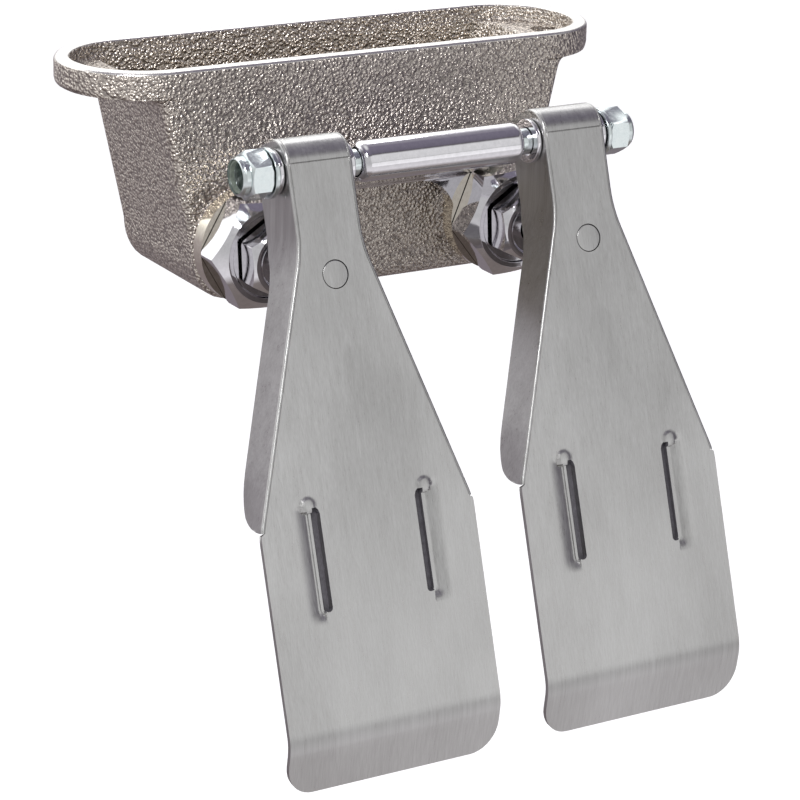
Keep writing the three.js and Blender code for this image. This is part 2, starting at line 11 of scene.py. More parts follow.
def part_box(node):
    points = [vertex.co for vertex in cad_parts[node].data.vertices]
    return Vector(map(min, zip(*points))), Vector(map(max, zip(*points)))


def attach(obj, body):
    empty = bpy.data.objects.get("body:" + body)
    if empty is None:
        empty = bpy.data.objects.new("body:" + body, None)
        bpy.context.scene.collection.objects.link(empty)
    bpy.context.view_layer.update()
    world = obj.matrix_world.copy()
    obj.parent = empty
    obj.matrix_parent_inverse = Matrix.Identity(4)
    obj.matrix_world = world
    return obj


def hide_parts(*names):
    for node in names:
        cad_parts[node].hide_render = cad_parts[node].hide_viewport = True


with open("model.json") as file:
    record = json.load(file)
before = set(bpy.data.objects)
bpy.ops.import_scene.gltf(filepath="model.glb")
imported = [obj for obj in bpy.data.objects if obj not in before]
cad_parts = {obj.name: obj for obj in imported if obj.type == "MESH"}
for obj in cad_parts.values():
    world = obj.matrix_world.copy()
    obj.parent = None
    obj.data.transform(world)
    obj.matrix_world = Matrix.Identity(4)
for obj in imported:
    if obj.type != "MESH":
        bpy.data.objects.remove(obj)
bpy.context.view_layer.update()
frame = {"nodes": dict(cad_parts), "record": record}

MM = 0.001


# ---------------------------------------------------------------- driving places, from the frame
def box_mm(node):
    low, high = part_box(node)
    return low / MM, high / MM


rod_low, rod_high = box_mm("hinge_rod")
HINGE = (rod_low + rod_high) / 2
stem_low, stem_high = box_mm("stem_left")
STATION_Z = (stem_low.z + stem_high.z) / 2
STATION_X = -(stem_low.x + stem_high.x) / 2
body_low, body_high = box_mm("valve_body")
HALF_LENGTH = body_high.x
HALF_WIDTH = body_high.y
BODY_BOTTOM = body_low.z
BOSS_FRONT = body_low.y

PEDAL_TILT = math.radians(18.35)
FLANGE_THICKNESS = 8.3
RIM_WIDTH = 4.7
EAR_RECESS = 4.8
EAR_HOLE_X = 78
EAR_HOLE_RADIUS = 4.4
BODY_HALF_TOP = 68.8
BODY_HALF_LOW = 58.2
BODY_CORNER_TOP = -56
WALL = 5
BOSS_RADIUS = 15.5
BOSS_COLLAR = 1.6  # the ridge round a boss, just in front of the body
CHAMBER_END = 18
CHAMBER_RADIUS = 10.4
CHAMBER_BACK = 14
THREAD_RADIUS = 12.3
THREAD_END = -3.6
PORT_Y = 5
OUTLET_Y = -10
PORT_TOP = -13
PORT_RADIUS = 11
PORT_BORE = 7.5
CROSS_TUBE_RADIUS = 8.4
CROSS_TUBE_BORE = 4
LUG_RADIUS = 17.8
LUG_FRONT = -33.5
LUG_BACK = -28.5
TUBE_RADIUS = 6.05
TUBE_HALF = 27.2
ROD_RADIUS = 3.97
NECK_HALF = 10.4
GAP = 0.3  # between pieces that move or are put together
BUSH_RADIUS = 5.0
BUSH_FLANGE_RADIUS = 6.55
BUSH_FLANGE_THICKNESS = 1.4
BONNET_FLAT = 31.75  # across flats
BONNET_FRONT = -44.4
BONNET_BACK = -13
GLAND_FLAT = 20.6
GLAND_FRONT = -53
STEM_RADIUS = 4.5
SHANK_RADIUS = 3
NUT_FLAT = 12.7
NUT_HEIGHT = 9
NUT_CROWN = 2.4
CROWN_RADIUS = 5.7
NYLON_RADIUS = 4.85
NYLON_WIDTH = 1.2
WASHER_RADIUS = 7.35
WASHER_THICKNESS = 1.3


# ---------------------------------------------------------------- mesh helpers
def new_object(label, vertices, faces, scale=MM):
    name = label.replace(" ", "_")
    mesh = bpy.data.meshes.new(name)
    mesh.from_pydata([tuple(c * scale for c in v) for v in vertices], [], faces)
    mesh.update()
    piece = bpy.data.objects.new(name, mesh)
    bpy.context.scene.collection.objects.link(piece)
    return piece


def tidy(piece, merge):
    """Merges points closer than a distance in millimetres, and turns every face outwards."""
    work = bmesh.new()
    work.from_mesh(piece.data)
    bmesh.ops.remove_doubles(work, verts=work.verts, dist=merge * MM)
    bmesh.ops.dissolve_degenerate(work, edges=work.edges, dist=0.001 * MM)
    bmesh.ops.recalc_face_normals(work, faces=work.faces)
    work.to_mesh(piece.data)
    work.free()
    return piece


def apply_modifiers(piece):
    bpy.context.view_layer.update()
    graph = bpy.context.evaluated_depsgraph_get()
    made = bpy.data.meshes.new_from_object(piece.evaluated_get(graph))
    piece.modifiers.clear()
    piece.data = made
    return piece


def combine(piece, tool, operation):
    """Joins, cuts or intersects a piece with a tool, which is used up."""
    modifier = piece.modifiers.new("combine", "BOOLEAN")
    modifier.operation = operation
    modifier.object = tool
    modifier.solver = "EXACT"
    apply_modifiers(piece)
    bpy.data.objects.remove(tool)
    return piece


def soften(piece, width, segments, angle):
    """Rounds the piece's edges that are sharper than an angle in degrees, and shades it."""
    bevel = piece.modifiers.new("soft edges", "BEVEL")
    bevel.width = width * MM
    bevel.segments = segments
    bevel.limit_method = "ANGLE"
    bevel.angle_limit = math.radians(angle)
    bevel.use_clamp_overlap = True
    bevel.miter_outer = "MITER_ARC"
    apply_modifiers(piece)
    return shade(piece)


def shade(piece, angle=38):
    """Smooth shading, kept sharp at edges over an angle in degrees."""
    for polygon in piece.data.polygons:
        polygon.use_smooth = True
    piece.data.set_sharp_from_angle(angle=math.radians(angle))
    weights = piece.modifiers.new("face normals", "WEIGHTED_NORMAL")
    weights.keep_sharp = True
    weights.weight = 80
    return apply_modifiers(piece)


def rounded(points, radius, steps=4):
    """A polyline's [a, b] corners made into arcs, where the sides have room."""
    out = [points[0]]
    for before, corner, after in zip(points, points[1:], points[2:]):
        p, a, b = Vector(corner), Vector(before), Vector(after)
        to_a, to_b = a - p, b - p
        if to_a.length < 1e-6 or to_b.length < 1e-6:
            out.append(corner)
            continue
        angle = to_a.angle(to_b)
        reach = min(radius / math.tan(angle / 2), 0.48 * to_a.length, 0.48 * to_b.length)
        if angle > math.radians(176) or reach < 0.01:
            out.append(corner)
            continue
        start, end = p + to_a.normalized() * reach, p + to_b.normalized() * reach
        for i in range(steps + 1):
            t = i / steps
            q = start * (1 - t) ** 2 + p * 2 * t * (1 - t) + end * t * t
            out.append((q.x, q.y))
    out.append(points[-1])
    return out


def turned(name, profile, centre, axis, radius, sides=96, hole=0.0):
    """A solid of revolution from (radius, place along the axis) points, about an axis through a centre.
    With a hole, the profile is the outside of a ring and closes along the hole's wall."""
    points = rounded(profile, radius)
    closed = hole > 0
    if closed:
        points = rounded([(hole, profile[0][1])] + list(profile) + [(hole, profile[-1][1])], radius)
    vertices, faces = [], []
    rings = []
    for r, along in points:
        if r < 1e-6:
            rings.append([len(vertices)])
            vertices.append((0.0, along, 0.0))
            continue
        rings.append(range(len(vertices), len(vertices) + sides))
        for i in range(sides):
            a = 2 * math.pi * i / sides
            vertices.append((r * math.cos(a), along, r * math.sin(a)))
    pairs = list(zip(rings, rings[1:]))
    if closed:
        pairs.append((rings[-1], rings[0]))
    for low, high in pairs:
        for i in range(sides):
            j = (i + 1) % sides
            corners = [low[i % len(low)], low[j % len(low)], high[j % len(high)], high[i % len(high)]]
            corners = list(dict.fromkeys(corners))
            if len(corners) > 2:
                faces.append(corners)
    if axis == "X":
        vertices = [(along, x, z) for x, along, z in vertices]
    if axis == "Z":
        vertices = [(x, z, along) for x, along, z in vertices]
    vertices = [(x + centre[0], y + centre[1], z + centre[2]) for x, y, z in vertices]
    return tidy(new_object(name, vertices, faces), 0.0005)


def prism(name, outline, axis, low, high):
    """An outline given depth along an axis. It is drawn in (x, z) for Y, (y, z) for X and (x, y) for Z."""
    place = {
        "X": lambda a, b, d: (d, a, b),
        "Y": lambda a, b, d: (a, d, b),
        "Z": lambda a, b, d: (a, b, d),
    }[axis]
    count = len(outline)
    vertices = [place(a, b, low) for a, b in outline] + [place(a, b, high) for a, b in outline]
    faces = [list(range(count)), list(range(2 * count - 1, count - 1, -1))]
    faces += [[i, i + count, (i + 1) % count + count, (i + 1) % count] for i in range(count)]
    return tidy(new_object(name, vertices, faces), 0.0005)


def bar(axis, radius, low, high, centre=(0, 0, 0), sides=72):
    circle = [(radius * math.cos(2 * math.pi * i / sides), radius * math.sin(2 * math.pi * i / sides))
              for i in range(sides)]
    piece = prism("bar", circle, axis, low, high)
    piece.data.transform(Matrix.Translation(Vector(centre) * MM))
    return piece


def hexagon(across_flats, corner):
    r = across_flats / math.sqrt(3)
    return [(r * math.cos(corner + i * math.pi / 3), r * math.sin(corner + i * math.pi / 3))
            for i in range(6)]


def arc(centre, radius, start, end, steps):
    return [(centre[0] + radius * math.cos(start + (end - start) * i / steps),
             centre[1] + radius * math.sin(start + (end - start) * i / steps))
            for i in range(steps + 1)]


def curve(a, b, c, steps):
    """A quadratic curve from a to c, pulled towards b."""
    return [tuple(a[k] * (1 - t) ** 2 + 2 * b[k] * t * (1 - t) + c[k] * t * t for k in (0, 1))
            for t in [i / steps for i in range(steps + 1)]]


def smoothstep(low, high, value):
    t = min(max((value - low) / (high - low), 0.0), 1.0)
    return t * t * (3 - 2 * t)


# ---------------------------------------------------------------- materials
def fill_ramp(ramp, stops):
    """Gives a colour ramp its (position, colour) stops."""
    elements = ramp.color_ramp.elements
    while len(elements) < len(stops):
        elements.new(0.5)
    for element, (position, color) in zip(elements, stops):
        element.position = position
        element.color = (*color, 1)


class Nodes:
    """A small wrapper that keeps a node material's making readable."""

    def __init__(self, name):
        self.material = bpy.data.materials.new(name)
        self.material.use_nodes = True
        self.tree = self.material.node_tree
        self.shader = self.tree.nodes["Principled BSDF"]
        coordinates = self.tree.nodes.new("ShaderNodeTexCoord")
        self.place = coordinates.outputs["Object"]

    def add(self, kind, **settings):
        node = self.tree.nodes.new(kind)
        for key, value in settings.items():
            if hasattr(node, key):
                setattr(node, key, value)
            else:
                node.inputs[key.replace("_", " ")].default_value = value
        return node

    def link(self, source, target):
        self.tree.links.new(source, target)

    def mapped(self, scale, rotation=(0, 0, 0)):
        node = self.add("ShaderNodeMapping")
        node.inputs["Scale"].default_value = scale
        node.inputs["Rotation"].default_value = rotation
        self.link(self.place, node.inputs["Vector"])
        return node.outputs["Vector"]

    def noise(self, vector, scale, detail=2.0, roughness=0.5):
        node = self.add("ShaderNodeTexNoise", Scale=scale, Detail=detail, Roughness=roughness)
        self.link(vector, node.inputs["Vector"])
        return node.outputs["Fac"]

    def ramp(self, factor, stops):
        node = self.add("ShaderNodeValToRGB")
        fill_ramp(node, stops)
        self.link(factor, node.inputs["Fac"])
        return node.outputs["Color"]

    def range(self, factor, low, high, from_low=0.3, from_high=0.7):
        node = self.add("ShaderNodeMapRange")
        node.inputs["From Min"].default_value = from_low
        node.inputs["From Max"].default_value = from_high
        node.inputs["To Min"].default_value = low
        node.inputs["To Max"].default_value = high
        self.link(factor, node.inputs["Value"])
        return node.outputs["Result"]

    def bump(self, height, strength, distance, normal=None):
        node = self.add("ShaderNodeBump", Strength=strength, Distance=distance)
        self.link(height, node.inputs["Height"])
        if normal is not None:
            self.link(normal, node.inputs["Normal"])
        return node.outputs["Normal"]


def brushed(name, light, dark, roughness, rotation):
    """Stainless sheet with fine lines along the pedal, a little broad cloudiness and rare deeper lines."""
    n = Nodes(name)
    fine = n.noise(n.mapped((1, 0.35, 0.012), rotation), 3800, 3.0, 0.65)
    medium = n.noise(n.mapped((1, 0.35, 0.02), rotation), 900, 2.0, 0.5)
    cloud = n.noise(n.mapped((1, 1, 0.35), rotation), 38, 3.0, 0.55)
    streaks = n.add("ShaderNodeMix", data_type="FLOAT")
    streaks.inputs[0].default_value = 0.38
    n.link(fine, streaks.inputs[2])
    n.link(medium, streaks.inputs[3])
    lines = streaks.outputs[0]
    mixed = n.add("ShaderNodeMix", data_type="FLOAT")
    mixed.inputs[0].default_value = 0.35
    n.link(lines, mixed.inputs[2])
    n.link(cloud, mixed.inputs[3])
    color = n.ramp(mixed.outputs[0], [(0.36, dark), (0.64, light)])
    n.link(color, n.shader.inputs["Base Color"])
    n.link(n.range(lines, roughness - 0.06, roughness + 0.1), n.shader.inputs["Roughness"])
    n.link(n.bump(lines, 0.16, 0.00012), n.shader.inputs["Normal"])
    n.shader.inputs["Metallic"].default_value = 1.0
    n.shader.inputs["Anisotropic"].default_value = 0.45
    return n.material


def cast(name, light, dark, grain, strength, roughness):
    """Sand-cast metal with a bright plated skin: crisp grains with small dark pits between them."""
    n = Nodes(name)
    cells = n.add("ShaderNodeTexVoronoi", feature="SMOOTH_F1", Scale=1 / grain, Smoothness=0.45)
    n.link(n.place, cells.inputs["Vector"])
    pits = n.noise(n.place, 1 / (grain * 0.6), 2.0, 0.5)
    height = n.add("ShaderNodeMix", data_type="FLOAT")
    height.inputs[0].default_value = 0.28
    n.link(n.range(cells.outputs["Distance"], 1.0, 0.0, 0.1, 0.8), height.inputs[2])
    n.link(n.range(pits, 0.0, 1.0, 0.2, 0.8), height.inputs[3])
    grainy = height.outputs[0]
    swell = n.noise(n.place, 40, 2.0)
    n.link(n.bump(swell, 0.2, 0.0015, n.bump(grainy, strength, grain * 0.9)), n.shader.inputs["Normal"])
    n.link(n.ramp(grainy, [(0.22, dark), (0.62, light)]), n.shader.inputs["Base Color"])
    n.link(n.range(pits, roughness + 0.1, roughness - 0.05), n.shader.inputs["Roughness"])
    n.shader.inputs["Metallic"].default_value = 1.0
    return n.material


def plated(name, light, dark, roughness, ripple=0.03):
    """Polished plate: an even mirror with a faint swell and slight clouding."""
    n = Nodes(name)
    swell = n.noise(n.place, 130, 2.0)
    cloud = n.noise(n.place, 700, 3.0, 0.6)
    n.link(n.ramp(cloud, [(0.3, dark), (0.7, light)]), n.shader.inputs["Base Color"])
    n.link(n.range(cloud, roughness * 0.7, roughness * 1.6), n.shader.inputs["Roughness"])
    n.link(n.bump(swell, ripple, 0.002), n.shader.inputs["Normal"])
    n.shader.inputs["Metallic"].default_value = 1.0
    return n.material


def machined(name, light, dark, roughness):
    """A faced surface with fine cutter marks."""
    n = Nodes(name)
    marks = n.noise(n.mapped((0.06, 1, 1)), 2600, 2.0, 0.6)
    n.link(n.ramp(marks, [(0.3, dark), (0.7, light)]), n.shader.inputs["Base Color"])
    n.link(n.range(marks, roughness - 0.06, roughness + 0.1), n.shader.inputs["Roughness"])
    n.link(n.bump(marks, 0.12, 0.0001), n.shader.inputs["Normal"])
    n.shader.inputs["Metallic"].default_value = 1.0
    return n.material


def dull(name, light, dark, roughness):
    """Moulded rubber or nylon, and the painted shade in the pedals' troughs: matt, with a fine even grain."""
    n = Nodes(name)
    grain = n.noise(n.place, 900, 3.0, 0.6)
    n.link(n.ramp(grain, [(0.3, dark), (0.7, light)]), n.shader.inputs["Base Color"])
    n.link(n.range(grain, roughness - 0.08, roughness + 0.08), n.shader.inputs["Roughness"])
    n.link(n.bump(grain, 0.15, 0.0002), n.shader.inputs["Normal"])
    n.shader.inputs["Metallic"].default_value = 0.0
    return n.material


ALONG_PEDAL = (PEDAL_TILT, 0, 0)
STEEL = brushed("brushed stainless", (0.63, 0.63, 0.625), (0.43, 0.425, 0.42), 0.31, ALONG_PEDAL)
NICKEL_CAST = cast("cast nickel", (0.81, 0.745, 0.67), (0.42, 0.38, 0.35), 0.00094, 0.78, 0.26)
# Painted light: a paler copy of the cast metal for the cavity's inside, standing in for the bright
# surroundings its floors mirror.
CAST_INSIDE_PAINTED_LIGHT = cast("cast inside painted light", (0.93, 0.855, 0.77), (0.47, 0.43, 0.385), 0.0010, 0.85, 0.28)
RIM_METAL = machined("machined rim", (0.93, 0.91, 0.88), (0.80, 0.78, 0.75), 0.24)
CHROME = plated("chrome", (0.80, 0.79, 0.82), (0.72, 0.71, 0.74), 0.07)
WARM_NICKEL = plated("polished nickel", (0.88, 0.83, 0.72), (0.78, 0.72, 0.61), 0.1)
ZINC = plated("zinc", (0.78, 0.84, 0.84), (0.62, 0.68, 0.69), 0.17, 0.05)
BRASS = machined("brass", (0.78, 0.62, 0.32), (0.60, 0.46, 0.22), 0.3)
SPRING_STEEL = plated("spring wire", (0.62, 0.62, 0.62), (0.48, 0.48, 0.48), 0.2)
# Painted shade: a near-black matt material in the rib troughs stands in for the shadow there.
TROUGH_PAINTED_SHADE = dull("trough painted shade", (0.125, 0.12, 0.135), (0.085, 0.08, 0.09), 0.55)
RUBBER = dull("rubber", (0.035, 0.035, 0.037), (0.018, 0.018, 0.02), 0.6)
NYLON = dull("nylon", (0.20, 0.23, 0.19), (0.11, 0.13, 0.11), 0.5)

SLOTS = {
    "cast_nickel": NICKEL_CAST,
    "chrome": CHROME,
    "zinc": ZINC,
    "brushed_stainless": STEEL,
    "raw_brass": BRASS,
    "spring_steel": SPRING_STEEL,
    "black_rubber": RUBBER,
    "nylon": NYLON,
}
SLOT_OF = {entry["node"]: entry["material_slot"] for entry in frame["record"]["subparts"]}
BODY_OF = {node: body for body, nodes in frame["record"]["behaviour"]["bodies"].items() for node in nodes}


def give_materials(piece, *materials):
    piece.data.materials.clear()
    for material in materials:
        piece.data.materials.append(material)


def stand_for(piece, node):
    """A piece takes a CAD node's place and its body, and its finish where it has none of its own."""
    if not piece.data.materials:
        piece.data.materials.append(SLOTS[SLOT_OF[node]])
    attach(piece, BODY_OF[node])
    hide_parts(node)
    return piece


# ---------------------------------------------------------------- valve body
def ring(half_x, half_y, corner, z, per_corner=14, per_side=16, per_end=8):
    """Points round a rectangle with round corners, the same number for every size."""
    corner = min(corner, half_y * 0.995, half_x * 0.995)
    points = []
    quarters = [(1, 1, 0), (-1, 1, 1), (-1, -1, 2), (1, -1, 3)]
    for (sx, sy, turn), steps in zip(quarters, (per_side, per_end, per_side, per_end)):
        centre = (sx * (half_x - corner), sy * (half_y - corner))
        arc_points = arc(centre, corner, turn * math.pi / 2, (turn + 1) * math.pi / 2, per_corner)
        points += arc_points
        following = quarters[(turn + 1) % 4]
        target = (following[0] * (half_x - corner), following[1] * (half_y - corner))
        next_start = (target[0] + corner * math.cos((turn + 1) * math.pi / 2),
                      target[1] + corner * math.sin((turn + 1) * math.pi / 2))
        last = arc_points[-1]
        for i in range(1, steps):
            t = i / steps
            points.append((last[0] + (next_start[0] - last[0]) * t, last[1] + (next_start[1] - last[1]) * t))
    return [(x, y, z) for x, y in points]


def loft(name, rings):
    """Closed rings joined into one closed skin, with the first and last filled in."""
    count = len(rings[0])
    vertices = [p for r in rings for p in r]
    faces = [list(range(count)), list(range((len(rings) - 1) * count, len(rings) * count))]
    for level in range(len(rings) - 1):
        for i in range(count):
            j = (i + 1) % count
            a, b = level * count, (level + 1) * count
            faces.append([a + i, a + j, b + j, b + i])
    return tidy(new_object(name, vertices, faces), 0.001)


def body_half(z):
    """Half length of the body's outside at a height, above its bottom corners."""
    slope = (BODY_HALF_TOP - BODY_HALF_LOW) / (-FLANGE_THICKNESS - BODY_CORNER_TOP)
    return BODY_HALF_LOW + slope * (z - BODY_CORNER_TOP)


def valve_body():
    rings = []
    edge = 2.8  # rounding of the body's upright edges
    base = 4.5  # rounding along the bottom
    # Bottom corners: the ends sweep in to the flat bottom, as in the frame.
    corner_height = BODY_CORNER_TOP - BODY_BOTTOM
    flat_half = BODY_HALF_LOW - 14
    for i in range(11):
        t = i / 10
        z = BODY_BOTTOM + corner_height * (1 - math.cos(t * math.pi / 2))
        half = flat_half + 14 * math.sin(t * math.pi / 2) ** 0.9
        rise = min(z - BODY_BOTTOM, base)
        drawn_in = base - math.sqrt(max(base ** 2 - (base - rise) ** 2, 0.0))
        rings.append(ring(half - drawn_in * 0.3, HALF_WIDTH - drawn_in, edge, z))
    for z in (-50, -42, -34, -26, -18, -13.5):
        rings.append(ring(body_half(z), HALF_WIDTH - 0.15, edge, z))
    # A fillet under the flange, then the flange's rounded underside, wall and rim.
    fillet = 3.0
    for i in range(1, 7):
        a = i / 6 * math.pi / 2
        z = -FLANGE_THICKNESS - fillet + fillet * math.sin(a)
        grow = fillet * (1 - math.cos(a))
        rings.append(ring(body_half(z) + grow, HALF_WIDTH - 0.15, edge + grow, z))
    rings.append(ring(HALF_LENGTH - 9, HALF_WIDTH - 0.15, HALF_WIDTH, -FLANGE_THICKNESS))
    rings.append(ring(HALF_LENGTH - 2.2, HALF_WIDTH - 0.13, HALF_WIDTH, -FLANGE_THICKNESS))
    for r, rise in ((1.0, 0.25), (0.3, 0.9), (0.0, 2)):
        half_y = HALF_WIDTH - min(r, 0.12)
        rings.append(ring(HALF_LENGTH - r, half_y, HALF_WIDTH - r, rise - FLANGE_THICKNESS))
    for r, z in ((0.0, -1.4), (0.12, -0.75), (0.5, -0.22), (1.0, -0.02), (1.2, 0.0)):
        rings.append(ring(HALF_LENGTH - r, HALF_WIDTH - r, HALF_WIDTH - r, z))
    for r, z in ((RIM_WIDTH - 1.0, 0.0), (RIM_WIDTH - 0.6, -0.06), (RIM_WIDTH - 0.2, -0.4), (RIM_WIDTH, -1.0),
                 (RIM_WIDTH + 0.1, -EAR_RECESS + 1.2), (RIM_WIDTH + 0.45, -EAR_RECESS + 0.35)):
        rings.append(ring(HALF_LENGTH - r, HALF_WIDTH - r, HALF_WIDTH - r, z))
    # The ears' floors run in to the cavity's edge, and the cavity's walls go down to its floor.
    inside = HALF_WIDTH - WALL
    rings.append(ring(HALF_LENGTH - RIM_WIDTH - 1.2, inside - 0.15, inside - 0.15, -EAR_RECESS))
    mouth = body_half(-EAR_RECESS) - 1.6
    rings.append(ring(mouth + 1.2, inside - 0.2, 6.0, -EAR_RECESS - 0.02))
    for grow, z in ((0.5, -EAR_RECESS - 0.25), (0.1, -EAR_RECESS - 0.8)):
        rings.append(ring(mouth + grow, inside - 0.25, 5.0, z))
    for z in (-14, -28, -42, BODY_CORNER_TOP + 2):
        rings.append(ring(body_half(z) - 3.2, inside - 0.3, 4.0, z))
    floor = BODY_BOTTOM + 3
    for i in range(1, 6):
        t = i / 5
        z = BODY_CORNER_TOP + 2 + (floor - BODY_CORNER_TOP - 2) * math.sin(t * math.pi / 2)
        half = body_half(BODY_CORNER_TOP + 2) - 3.2 - 14 * (1 - math.cos(t * math.pi / 2))
        rings.append(ring(half, inside - 0.3 - 3 * t * t, 4.0, z))
    body = loft("valve body", rings)
    for x in (-STATION_X, STATION_X):
        outside = [(0, CHAMBER_END), (BOSS_RADIUS, CHAMBER_END), (BOSS_RADIUS, -22),
                   (BOSS_RADIUS + BOSS_COLLAR, -25.2), (BOSS_RADIUS, -25.9), (BOSS_RADIUS, BOSS_FRONT),
                   (0, BOSS_FRONT)]
        boss = turned("boss", outside, (x, 0, STATION_Z), "Y", 0.7)
        combine(body, boss, "UNION")
        combine(body, bar("Z", PORT_RADIUS, STATION_Z, PORT_TOP, (x, PORT_Y, 0)), "UNION")
    combine(body, bar("X", CROSS_TUBE_RADIUS, -STATION_X, STATION_X, (0, OUTLET_Y, STATION_Z)), "UNION")
    combine(body, bar("Z", PORT_RADIUS, STATION_Z, PORT_TOP, (0, OUTLET_Y, 0)), "UNION")
    for x in (-STATION_X, STATION_X):
        station = (x, 0, STATION_Z)
        combine(body, bar("Y", THREAD_RADIUS, BOSS_FRONT - 2, THREAD_END, station), "DIFFERENCE")
        combine(body, bar("Y", CHAMBER_RADIUS, THREAD_END - 1, CHAMBER_BACK, station), "DIFFERENCE")
        combine(body, bar("Z", PORT_BORE, STATION_Z, PORT_TOP + 2, (x, PORT_Y, 0)), "DIFFERENCE")
    crossing = (0, OUTLET_Y, STATION_Z)
    combine(body, bar("X", CROSS_TUBE_BORE, -STATION_X, STATION_X, crossing), "DIFFERENCE")
    combine(body, bar("Z", PORT_BORE, STATION_Z, PORT_TOP + 2, (0, OUTLET_Y, 0)), "DIFFERENCE")
    for x in (-EAR_HOLE_X, EAR_HOLE_X):
        combine(body, bar("Z", EAR_HOLE_RADIUS, -20, 5, (x, 0, 0)), "DIFFERENCE")
    give_materials(body, NICKEL_CAST, RIM_METAL, CAST_INSIDE_PAINTED_LIGHT)
    for polygon in body.data.polygons:
        c, normal = polygon.center / MM, polygon.normal
        polygon.material_index = 0
        if c.z > -0.6 and normal.z > 0.3:
            polygon.material_index = 1
        # The cavity's inside takes the paler copy of the cast metal, a painted light.
        elif c.z < -EAR_RECESS + 0.1 and abs(c.y) < inside + 0.4 and abs(c.x) < body_half(c.z) - 2 \
                and c.z > BODY_BOTTOM + 1:
            polygon.material_index = 2
        elif normal.y < -0.9 and c.y < BOSS_FRONT + 0.3:
            polygon.material_index = 1
    shade(body, 40)
    return stand_for(body, "valve_body")


# ---------------------------------------------------------------- hinge yoke
def yoke():
    shoulder = 1.45
    inner = math.radians(165)
    arch = (STATION_X + LUG_RADIUS * math.cos(inner), STATION_Z + LUG_RADIUS * math.sin(inner))
    right = [(TUBE_HALF - 1, HINGE.z + 4), (TUBE_HALF, HINGE.z - 6), (TUBE_HALF + 3, HINGE.z - 12)]
    right += arc((STATION_X, STATION_Z), LUG_RADIUS, shoulder, inner - 2 * math.pi, 72)
    right += curve(arch, (22, -39.5), (13, -39), 10)[1:]
    outline = rounded(right + [(-x, z) for x, z in reversed(right)], 3.5, 6)
    plate = prism("hinge yoke", outline, "Y", HINGE.y - 6, LUG_BACK)
    side = [(HINGE.y + 1, HINGE.z + 4.6), (HINGE.y - 2, HINGE.z - 5), (LUG_FRONT, HINGE.z - 17),
            (LUG_FRONT, -80), (LUG_BACK, -80), (LUG_BACK, HINGE.z - 10)]
    side = rounded(side + side[:1], 2.2, 6)[:-1]
    combine(plate, prism("side", side, "X", -70, 70), "INTERSECT")
    for x in (-STATION_X, STATION_X):
        combine(plate, bar("Y", 18.9, HINGE.y - 20, LUG_FRONT, (x, 0, STATION_Z), 120), "DIFFERENCE")
        combine(plate, bar("Y", THREAD_RADIUS + 0.2, LUG_FRONT - 1, LUG_BACK + 1, (x, 0, STATION_Z), 96),
                "DIFFERENCE")
    soften(plate, 0.9, 3, 40)
    outside = [(0, -TUBE_HALF), (TUBE_RADIUS, -TUBE_HALF), (TUBE_RADIUS, TUBE_HALF), (0, TUBE_HALF)]
    tube = turned("tube", outside, HINGE, "X", 2.6, 120)
    combine(plate, tube, "UNION")
    combine(plate, bar("X", ROD_RADIUS + GAP, -40, 40, (0, HINGE.y, HINGE.z), 96), "DIFFERENCE")
    give_materials(plate, CHROME, WARM_NICKEL)
    for polygon in plate.data.polygons:
        c = polygon.center / MM
        polygon.material_index = 1 if c.y > LUG_FRONT - 0.4 and abs(c.x) > 24 else 0
    shade(plate, 34)
    return stand_for(plate, "hinge_yoke")


# ---------------------------------------------------------------- pedals
SHEET = 1.5
FACE = 7.8
WRAP_RADIUS = 7.5
WRAP_CENTRE = (WRAP_RADIUS - FACE, 1.7)
WRAP_END = math.radians(104)
NECK_END = 23
NECK_STRAIGHT = 17
TAPER_START = 29
TAPER_END = 97.1
TAPER_GAIN = 2  # half width gained before the straight taper starts
PLATE_BLEND = 4.5  # length over which the taper runs into the plate
PLATE_GAIN = 0.6  # half width gained along it
FLARE_END = 98.6
PLATE_HALF = 34.4
BEND_START = 155.5
BEND_RADIUS = 13.85
BEND_ANGLE = math.radians(27)
PEDAL_END = 173.38
PLATE_CORNER = 8.5
EAR_DEPTH = 10.4
EAR_BLEND = 14  # length over which the side flange narrows below the ear
FLANGE_DEPTH = 7.5
FLANGE_SWELL = 82.6  # where the side flange starts to swell, just before it ends
STUD_DOWN = 30.6
STUD_RADIUS = 3.95
STUD_RIVET_RADIUS = 5.5
FOLD = 0.75
CREASE = 0.42
CREASE_DEPTH = 0.26
RIB_TOP, RIB_BOTTOM = 94.0, 123.6
TROUGH_IN = 15.4
RIB_BAR_IN = 17.95
RIB_BAR_OUT = 19.35
RIB_SLOPE_OUT = 24.0
RIB_DEPTH = 1.1
TROUGH_DEPTH = 2.2
PRESSED_WALL = 0.8
DOME_CENTRE, DOME_RADIUS, DOME_HEIGHT = (18.85, 93.2), 2.3, 0.6


def pedal_half(down):
    """Half width of the pedal at a distance down from the hinge axis."""
    if down < NECK_STRAIGHT:
        return NECK_HALF
    if down < TAPER_START:
        return NECK_HALF + TAPER_GAIN * ((down - NECK_STRAIGHT) / (TAPER_START - NECK_STRAIGHT)) ** 2
    top, bottom = NECK_HALF + TAPER_GAIN, PLATE_HALF - PLATE_GAIN
    if down < TAPER_END:
        return top + (bottom - top) * (down - TAPER_START) / (TAPER_END - TAPER_START)
    if down < TAPER_END + PLATE_BLEND:
        t = (down - TAPER_END) / PLATE_BLEND
        return bottom + PLATE_GAIN * (2 * t - t * t)
    start = PEDAL_END - PLATE_CORNER
    if down > start:
        return PLATE_HALF - PLATE_CORNER + math.sqrt(max(PLATE_CORNER ** 2 - (down - start) ** 2, 0.0))
    return PLATE_HALF


